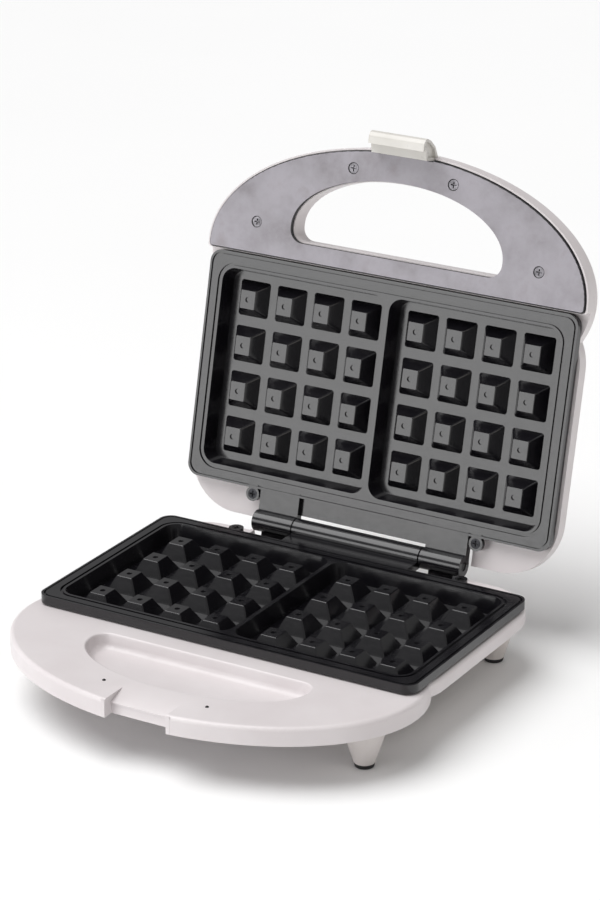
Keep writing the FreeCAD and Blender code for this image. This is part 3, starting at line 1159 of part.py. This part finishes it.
def lamps():
    """Two lenses in the dome, the neon lamps behind them and the strip that holds the lamps."""
    outside = -size("housing_side + dome_height")
    radius, across, line = size("lamp_radius"), size("lamp_across"), -size("lamp_line")
    proud, length, flange_height = size("lens_proud"), size("lens_length"), size("lens_flange")
    inside = outside + size("housing_wall + contact_gap")
    bulb_top = outside - proud + length + 0.4
    bulbs = []
    for name, x in (("lamp_lens_power", -across), ("lamp_lens_ready", across)):
        stem = Part.makeCylinder(radius, length, VEC(x, line, outside - proud))
        flange = Part.makeCylinder(radius + 1, flange_height, VEC(x, line, inside))
        ball = Part.makeSphere(radius * 1.25, VEC(x, line, outside - proud + radius * 0.75))
        cap = ball.common(Part.makeCylinder(radius, radius, VEC(x, line, outside - proud - radius)))
        shaped(name, stem.fuse([flange, cap]), LID_FRAME)
        bulbs.append(Part.makeCylinder(size("bulb_radius"), size("bulb_length"), VEC(x, line, bulb_top)))
    shaped("neon_lamps", Part.makeCompound(bulbs), LID_FRAME)
    reach, depth = size("lamp_across + holder_end"), size("holder_depth")
    corner = VEC(-reach, line - depth / 2, bulb_top + size("bulb_length") + 0.02)
    shaped("lamp_holder", Part.makeBox(2 * reach, depth, size("holder_sheet"), corner), LID_FRAME)


def lid_wiring():
    """Leads from the lid's element to its lamps."""
    radius, high = size("lead_radius"), size(HEATER_LEVEL)
    low = -size("lead_level") + 1
    across, rear = size("lead_across"), size("lead_line")
    tab, tab_line = size("heater_end - bush_length - pin_length - tab_length / 3"), size("heater_along - 4")
    front = -size("lamp_line") + size("holder_depth") / 2 + radius + 0.4
    leads = []
    for side in (-1, 1):
        points = [(side * tab, tab_line, high), (side * across, rear, high), (side * across, rear, low),
                  (side * across, front, low)]
        leads.append(lead(points, radius))
    return shaped("lid_wiring", Part.makeCompound(leads), LID_FRAME)


# ---------------------------------------------------------------- the whole object

griddle_plate("lower_plate", BASE_FRAME, outer_knuckles=False)
griddle_plate("upper_plate", LID_FRAME, outer_knuckles=True)
base_housing()
leg_screw_places = add_legs(bottom_cover())
screw_group("leg_screws", leg_screw_places, BASE_FRAME, "leg_screw_head", TAPPING_SHANK,
            "leg_screw_length", upward=True)
ear_places = [(side * size("ear_across"), size("ear_line"), -size("ear_top")) for side in (-1, 1)]
for prefix, half in (("lower", BASE_FRAME), ("upper", LID_FRAME)):
    heating_set(prefix, half)
    screw_group(f"{prefix}_ear_screws", ear_places, half, "ear_screw_head", TAPPING_SHANK,
                "ear_screw_length", countersunk=True)
thermostat()
thermal_fuse()
terminal_block()
cable_gland()
base_wiring()
deck_bumpers()
rod("hinge_rod", BASE_FRAME, "hinge_setback", "0", "rod_radius", "rod_half")

lid_housing()
handle_panel()
panel_screw_top = -size("rim_gap + panel_screw_sunk + contact_gap")
panel_screw_places = [(side * size(across), -size(line), panel_screw_top)
                      for side in (-1, 1) for across, line in PANEL_SCREWS]
screw_group("panel_screws", panel_screw_places, LID_FRAME,
            "panel_sink - panel_screw_sunk - 2 * contact_gap", "panel_screw_shank", "panel_screw_length",
            countersunk=True)
rod("latch_pin", LID_FRAME, "0 - clip_pivot_line", "0 - clip_pivot_depth", "clip_pin_radius",
    "latch_slot_half + housing_wall * 0.75")
latch_clip()
lamps()
lid_wiring()

doc.recompute()
faults = [item.Name for item in doc.Objects if {"Invalid", "Error"} & set(item.State)]
if faults:
    raise RuntimeError(f"objects in error: {faults}")
os.makedirs("parts", exist_ok=True)
for piece in pieces:
    if piece.Shape.isNull() or not piece.Shape.isValid():
        raise RuntimeError(f"{piece.Label} has no valid shape")
    piece.Shape.exportStep(f"parts/{piece.Label}.step")
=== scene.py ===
"""Looks of the two-slice waffle maker: soft-edged pieces, materials, studio and camera.

Metres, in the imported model's frame: +X to the right, -Y to the front, +Z up, z = 0 under the feet.
"""
import json
import math
import bmesh
import bpy
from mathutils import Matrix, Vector

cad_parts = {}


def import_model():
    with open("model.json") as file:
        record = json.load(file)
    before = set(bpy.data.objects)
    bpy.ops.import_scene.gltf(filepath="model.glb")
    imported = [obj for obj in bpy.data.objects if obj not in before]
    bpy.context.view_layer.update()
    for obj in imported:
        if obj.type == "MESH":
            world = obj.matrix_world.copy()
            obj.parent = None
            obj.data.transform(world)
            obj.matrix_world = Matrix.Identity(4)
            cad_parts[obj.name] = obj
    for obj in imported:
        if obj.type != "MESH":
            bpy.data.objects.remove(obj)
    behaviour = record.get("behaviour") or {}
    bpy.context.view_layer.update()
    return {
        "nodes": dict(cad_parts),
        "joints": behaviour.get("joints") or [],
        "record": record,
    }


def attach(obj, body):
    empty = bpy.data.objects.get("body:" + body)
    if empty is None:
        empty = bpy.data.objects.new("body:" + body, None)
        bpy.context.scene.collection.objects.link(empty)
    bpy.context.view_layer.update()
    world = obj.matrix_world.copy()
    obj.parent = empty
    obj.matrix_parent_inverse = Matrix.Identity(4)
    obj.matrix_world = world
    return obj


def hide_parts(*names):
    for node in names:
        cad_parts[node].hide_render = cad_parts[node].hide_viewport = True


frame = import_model()

MM = 0.001
HINGE = next(joint for joint in frame["joints"] if joint["name"] == "lid_hinge")
OPEN_ANGLE = math.radians(HINGE["range_deg"][1])
LID_FACE = Vector((0, -math.sin(OPEN_ANGLE), -math.cos(OPEN_ANGLE)))  # where the open lid's plate looks
LOOKS_ALONG = 0.98      # cosine above which a face counts as looking along a direction

MERGE_GAP = 0.002 * MM              # corners nearer than this become one
FLAT_ANGLE = math.radians(0.6)      # faces that turn less than this become one
SHARP_ANGLE = math.radians(28)      # edges that turn more than this are rounded
ROUND_SEGMENTS = 2
FLAT_FACE_WEIGHT = 80               # how far large flat faces rule the shading beside them

NOISE_MIDDLE = (0.3, 0.7)           # where most of a noise texture's values lie
MIDDLE = Vector((0, 0.02, 0.10))    # the point that the lights look at
FLOOR_RADIUS = 9.0
FLOOR_WHITE = (0.93, 0.93, 0.93)
FLOOR_SHADE = 0.985                 # the floor's darker patches, as a share of its white


# ---------------------------------------------------------------- node helpers

class Shader:
    """A material's node tree, with short calls for what the finishes here have in common."""

    def __init__(self, name):
        self.material = bpy.data.materials.new(name)
        self.material.use_nodes = True
        self.tree = self.material.node_tree
        self.surface = self.tree.nodes["Principled BSDF"]
        coordinates = self.tree.nodes.new("ShaderNodeTexCoord")
        self.place = coordinates.outputs["Object"]
        self.normal = None

    def link(self, source, target):
        """Join an output socket to an input socket."""
        self.tree.links.new(source, target)

    def noise(self, size, detail=3.0, rough=0.55, stretch=None):
        """Noise whose blobs are about `size` metres across, stretched per axis where asked."""
        node = self.tree.nodes.new("ShaderNodeTexNoise")
        node.inputs["Scale"].default_value = 1 / size
        node.inputs["Detail"].default_value = detail
        node.inputs["Roughness"].default_value = rough
        source = self.place
        if stretch:
            mapping = self.tree.nodes.new("ShaderNodeMapping")
            mapping.inputs["Scale"].default_value = stretch
            self.link(self.place, mapping.inputs["Vector"])
            source = mapping.outputs["Vector"]
        self.link(source, node.inputs["Vector"])
        return node.outputs["Fac"]

    def cells(self, size):
        """Distance to the nearest of scattered points about `size` metres apart."""
        node = self.tree.nodes.new("ShaderNodeTexVoronoi")
        node.inputs["Scale"].default_value = 1 / size
        self.link(self.place, node.inputs["Vector"])
        return node.outputs["Distance"]

    def colour(self, source, stops):
        """Colour the surface by a noise value: each stop is a position and a linear colour."""
        node = self.tree.nodes.new("ShaderNodeValToRGB")
        ramp = node.color_ramp
        while len(ramp.elements) < len(stops):
            ramp.elements.new(0.5)
        for element, (position, colour) in zip(ramp.elements, stops):
            element.position = position
            element.color = (*colour, 1.0)
        self.link(source, node.inputs["Fac"])
        self.link(node.outputs["Color"], self.surface.inputs["Base Color"])

    def roughness(self, source, low, high):
        """Vary the surface's roughness between two values by a noise value."""
        node = self.tree.nodes.new("ShaderNodeMapRange")
        node.inputs["From Min"].default_value, node.inputs["From Max"].default_value = NOISE_MIDDLE
        node.inputs["To Min"].default_value = low
        node.inputs["To Max"].default_value = high
        self.link(source, node.inputs["Value"])
        self.link(node.outputs["Result"], self.surface.inputs["Roughness"])

    def bump(self, height, depth, strength):
        """Add a layer of relief, its depth in metres, over the layers already there."""
        node = self.tree.nodes.new("ShaderNodeBump")
        node.inputs["Distance"].default_value = depth
        node.inputs["Strength"].default_value = strength
        self.link(height, node.inputs["Height"])
        if self.normal:
            self.link(self.normal, node.inputs["Normal"])
        self.normal = node.outputs["Normal"]
        self.link(self.normal, self.surface.inputs["Normal"])

    def set(self, **values):
        """Set plain values on the surface; a name's underscores stand for spaces."""
        for name, value in values.items():
            self.surface.inputs[name.replace("_", " ")].default_value = value


def linear(*screen):
    """A colour given as screen values of 11 to 255, as the linear values that shaders use."""
    return tuple(((value / 255 + 0.055) / 1.055) ** 2.4 for value in screen)


# ---------------------------------------------------------------- finishes

def moulded_plastic(name, base, shade, rough=(0.30, 0.42)):
    """Injection-moulded plastic: faint flow mottling, a fine eroded grain and patchy gloss."""
    shader = Shader(name)
    shader.colour(shader.noise(38 * MM, detail=5), [(0.32, shade), (0.68, base)])
    shader.roughness(shader.noise(9 * MM, detail=4), *rough)
    shader.bump(shader.noise(0.5 * MM, detail=2), depth=0.03 * MM, strength=0.35)
    shader.bump(shader.noise(14 * MM), depth=0.1 * MM, strength=0.06)
    shader.set(IOR=1.5)
    return shader.material


def grey_panel():
    """Grey plastic, stained and rubbed in soft patches by steam and cleaning."""
    shader = Shader("grey_panel")
    shader.colour(shader.noise(24 * MM, detail=7, rough=0.62), [
        (0.30, linear(128, 123, 128)),
        (0.44, linear(149, 145, 151)),
        (0.56, linear(160, 156, 163)),
        (0.66, linear(151, 146, 151)),
        (0.78, linear(139, 129, 131)),
    ])
    shader.roughness(shader.noise(12 * MM, detail=5), 0.38, 0.56)
    shader.bump(shader.noise(0.45 * MM, detail=2), depth=0.04 * MM, strength=0.4)
    shader.bump(shader.cells(0.7 * MM), depth=0.02 * MM, strength=0.2)
    return shader.material


def plate_coating():
    """Dark non-stick coat over cast metal: faint blue-black, orange peel, fine rub marks."""
    shader = Shader("plate_coating")
    shader.colour(shader.noise(22 * MM, detail=4, rough=0.5), [
        (0.30, (0.0050, 0.0046, 0.0062)),
        (0.55, (0.0072, 0.0067, 0.0086)),
        (0.78, (0.0100, 0.0090, 0.0108)),
    ])
    shader.roughness(shader.noise(4 * MM, detail=4, stretch=(1, 5, 1)), 0.15, 0.21)
    shader.bump(shader.noise(1.4 * MM, detail=2), depth=0.02 * MM, strength=0.12)
    shader.bump(shader.noise(9 * MM), depth=0.03 * MM, strength=0.06)
    shader.set(IOR=1.5, Specular_IOR_Level=0.58)
    return shader.material


def painted_edge_shade():
    """Painted shade for the panel's edges and rims: a near-black finish in place of the shadow round
    the grey face.
    """
    shader = Shader("painted_edge_shade")
    shader.colour(shader.noise(7 * MM, detail=4), [
        (0.35, (0.010, 0.010, 0.012)),
        (0.65, (0.018, 0.017, 0.020)),
    ])
    shader.roughness(shader.noise(3 * MM), 0.45, 0.6)
    shader.bump(shader.noise(0.45 * MM, detail=2), depth=0.03 * MM, strength=0.3)
    return shader.material


def metal(name, colour, dark, rough=(0.22, 0.4), brushed=(1, 1, 12)):
    """Worn metal: darker in patches, with fine scratches along one direction."""
    shader = Shader(name)
    shader.colour(shader.noise(5 * MM, detail=6), [(0.35, dark), (0.6, colour)])
    shader.roughness(shader.noise(2 * MM, detail=5), *rough)
    shader.bump(shader.noise(1.2 * MM, detail=4, stretch=brushed), depth=0.02 * MM, strength=0.3)
    shader.set(Metallic=1.0)
    return shader.material


def soft_matte(name, colour, shade, rough=(0.6, 0.8)):
    """Rubber, ceramic, silicone and phenolic: matt, finely pitted, slightly uneven in tone."""
    shader = Shader(name)
    shader.colour(shader.noise(6 * MM, detail=5), [(0.35, shade), (0.65, colour)])
    shader.roughness(shader.noise(2 * MM), *rough)
    shader.bump(shader.noise(0.4 * MM, detail=3), depth=0.04 * MM, strength=0.4)
    shader.bump(shader.cells(1.1 * MM), depth=0.03 * MM, strength=0.2)
    return shader.material


def lens(name, colour, deep):
    """Clear tinted plastic or glass, moulded with fine facets inside."""
    shader = Shader(name)
    shader.colour(shader.noise(1.5 * MM, detail=3), [(0.3, deep), (0.7, colour)])
    shader.bump(shader.cells(0.8 * MM), depth=0.05 * MM, strength=0.5)
    shader.set(Roughness=0.08, Transmission_Weight=0.7, IOR=1.5)
    return shader.material


FINISHES = {
    "white_shell": moulded_plastic("white_shell", linear(219, 213, 214), linear(213, 206, 207)),
    "white_cover": moulded_plastic("white_cover", linear(217, 211, 209), linear(209, 202, 198)),
    "latch_plastic": moulded_plastic("latch_plastic", linear(216, 213, 208), linear(206, 203, 196),
                                     rough=(0.26, 0.36)),
    "grey_panel": grey_panel(),
    "plate_coating": plate_coating(),
    "rubber_feet": soft_matte("rubber_feet", (0.020, 0.020, 0.021), (0.012, 0.012, 0.012)),
    # painted shade: the near-black finish for the handle panel's edges and rims
    "painted_edge_shade": painted_edge_shade(),
    "dark_steel": metal("dark_steel", (0.035, 0.035, 0.038), (0.018, 0.018, 0.020),
                        brushed=(12, 1, 1)),
    "grey_screws": metal("grey_screws", (0.26, 0.25, 0.27), (0.15, 0.145, 0.155), rough=(0.4, 0.55)),
    "zinc_screws": metal("zinc_screws", (0.46, 0.46, 0.48), (0.26, 0.26, 0.28)),
    "heater_sheath": metal("heater_sheath", (0.20, 0.18, 0.17), (0.10, 0.08, 0.07), rough=(0.4, 0.6)),
    "ceramic_bush": soft_matte("ceramic_bush", (0.74, 0.72, 0.66), (0.62, 0.59, 0.52),
                               rough=(0.35, 0.5)),
    "tab_brass": metal("tab_brass", (0.72, 0.53, 0.24), (0.50, 0.34, 0.14)),
    "shield_sheet": metal("shield_sheet", (0.78, 0.78, 0.78), (0.62, 0.60, 0.58),
                          brushed=(1, 14, 1)),
    "phenolic": soft_matte("phenolic", (0.035, 0.024, 0.018), (0.020, 0.014, 0.012),
                           rough=(0.4, 0.55)),
    "fuse_case": metal("fuse_case", (0.62, 0.62, 0.62), (0.45, 0.45, 0.45)),
    "lead_jacket": soft_matte("lead_jacket", (0.66, 0.64, 0.58), (0.52, 0.49, 0.43),
                              rough=(0.5, 0.65)),
    "red_lens": lens("red_lens", (0.80, 0.05, 0.03), (0.45, 0.01, 0.01)),
    "green_lens": lens("green_lens", (0.08, 0.62, 0.14), (0.02, 0.32, 0.06)),
    "lamp_glass": lens("lamp_glass", (0.95, 0.90, 0.85), (0.85, 0.78, 0.70)),
}
SLOT_OF = {part["node"]: part["material_slot"] for part in frame["record"]["subparts"]}


def paint(piece, slot):
    """Give a piece the finish of one of the record's material slots."""
    piece.data.materials.clear()
    piece.data.materials.append(FINISHES[slot])


# ---------------------------------------------------------------- pieces

def body_of(node):
    """The name of the body that a CAD node belongs to."""
    bodies = frame["record"]["behaviour"]["bodies"]
    return next(name for name, members in bodies.items() if node in members)


def softened(node, width):
    """A copy of a node with its sharp edges rounded over, as a mould leaves them."""
    source = frame["nodes"][node]
    mesh = source.data.copy()
    work = bmesh.new()
    work.from_mesh(mesh)
    bmesh.ops.remove_doubles(work, verts=work.verts, dist=MERGE_GAP)
    bmesh.ops.dissolve_limit(work, angle_limit=FLAT_ANGLE, verts=work.verts, edges=work.edges)
    for face in work.faces:
        face.smooth = True
    work.to_mesh(mesh)
    work.free()
    piece = bpy.data.objects.new(f"{node}_moulded", mesh)
    bpy.context.scene.collection.objects.link(piece)
    edges = piece.modifiers.new("soft_edges", "BEVEL")
    edges.width = width
    edges.segments = ROUND_SEGMENTS
    edges.limit_method = "ANGLE"
    edges.angle_limit = SHARP_ANGLE
    edges.use_clamp_overlap = True
    edges.harden_normals = True
    flats = piece.modifiers.new("flat_faces", "WEIGHTED_NORMAL")
    flats.keep_sharp = True
    flats.weight = FLAT_FACE_WEIGHT
    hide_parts(node)
    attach(piece, body_of(node))
    paint(piece, SLOT_OF[node])
    return piece


def paint_edge_shade(piece, facing, material):
    """Give every face that does not look along `facing` a second material; here that is painted shade
    on the side faces, rims and hole walls.
    """
    piece.data.materials.append(material)
    for face in piece.data.polygons:
        if face.normal.dot(facing) < LOOKS_ALONG:
            face.material_index = 1


LEGS = [f"leg_{end}_{side}" for end in ("front", "rear") for side in ("left", "right")]
SOFT_EDGES = {
    "lower_plate": 0.25 * MM, "upper_plate": 0.25 * MM,
    "base_housing": 0.3 * MM, "lid_housing": 0.3 * MM, "handle_panel": 0.12 * MM,
    "latch_clip": 0.3 * MM, "bottom_cover": 0.4 * MM, "cord_gland": 0.25 * MM,
    **{leg: 0.4 * MM for leg in LEGS}, "foot_pads": 0.3 * MM,
}
soft_pieces = {node: softened(node, width) for node, width in SOFT_EDGES.items()}
# painted shade: the handle panel's edges, rims, hole walls and screw sinks go near-black in place of
# their shadow
paint_edge_shade(soft_pieces["handle_panel"], LID_FACE, FINISHES["painted_edge_shade"])
for node, thing in frame["nodes"].items():
    if node not in SOFT_EDGES:
        paint(thing, SLOT_OF[node])


# ---------------------------------------------------------------- studio

def floor_paint():
    """Matt white paint with wide, hardly visible patches."""
    shader = Shader("floor_paint")
    shade = tuple(value * FLOOR_SHADE for value in FLOOR_WHITE)
    shader.colour(shader.noise(0.4), [(0.3, shade), (0.7, FLOOR_WHITE)])
    shader.set(Roughness=0.7, Specular_IOR_Level=0.2)
    return shader.material


def floor():
    """A wide pale floor that the feet stand on."""
    work = bmesh.new()
    bmesh.ops.create_circle(work, cap_ends=True, segments=96, radius=FLOOR_RADIUS)
    mesh = bpy.data.meshes.new("floor")
    work.to_mesh(mesh)
    work.free()
    piece = bpy.data.objects.new("floor", mesh)
    piece.data.materials.append(floor_paint())
    bpy.context.scene.collection.objects.link(piece)


def direction(azimuth, elevation):
    """The way from the object to a light or camera: degrees from the front, and above the floor."""
    a, e = math.radians(azimuth), math.radians(elevation)
    return Vector((math.sin(a) * math.cos(e), -math.cos(a) * math.cos(e), math.sin(e)))


def aim(name, data, target, away, distance):
    """Put a light or camera `distance` metres from a target, looking back at it."""
    thing = bpy.data.objects.new(name, data)
    thing.location = target + away * distance
    thing.rotation_euler = (-away).to_track_quat("-Z", "Y").to_euler()
    bpy.context.scene.collection.objects.link(thing)
    return thing


def softbox(name, azimuth, elevation, distance, size, power, tint=(1, 1, 1)):
    """A square area light, its size in metres and its power in watts."""
    data = bpy.data.lights.new(name, "AREA")
    data.size = size
    data.energy = power
    data.color = tint
    aim(name, data, MIDDLE, direction(azimuth, elevation), distance)


def overhead(azimuth, elevation, spread, strength):
    """Even light from a wide patch of the ceiling, which keeps the floor pale as far as it is seen."""
    data = bpy.data.lights.new("overhead", "SUN")
    data.angle = math.radians(spread)
    data.energy = strength
    aim("overhead", data, MIDDLE, direction(azimuth, elevation), distance=2)


def world(strength):
    """Plain white light from all round."""
    sky = bpy.data.worlds.new("studio")
    sky.use_nodes = True
    background = sky.node_tree.nodes["Background"]
    background.inputs["Color"].default_value = (1.0, 1.0, 1.0, 1.0)
    background.inputs["Strength"].default_value = strength
    bpy.context.scene.world = sky


def camera(azimuth, elevation, distance, lens_mm, target):
    """The camera that the main picture is taken with."""
    data = bpy.data.cameras.new("camera")
    data.lens = lens_mm
    data.clip_start = 0.05
    data.clip_end = 60
    eye = aim("camera", data, target, direction(azimuth, elevation), distance)
    bpy.context.scene.camera = eye


floor()
world(0.36)
overhead(azimuth=-55, elevation=66, spread=50, strength=2.4)
softbox("key", azimuth=-29, elevation=4, distance=1.5, size=0.8, power=7.5)
softbox("warm_side", azimuth=85, elevation=25, distance=1.6, size=0.6, power=1.5,
        tint=(1.0, 0.93, 0.84))
camera(azimuth=30.5, elevation=21.5, distance=1.841, lens_mm=135,
       target=Vector((-0.0225, 0.0567, 0.102)))
bpy.context.scene.view_settings.view_transform = "Standard"
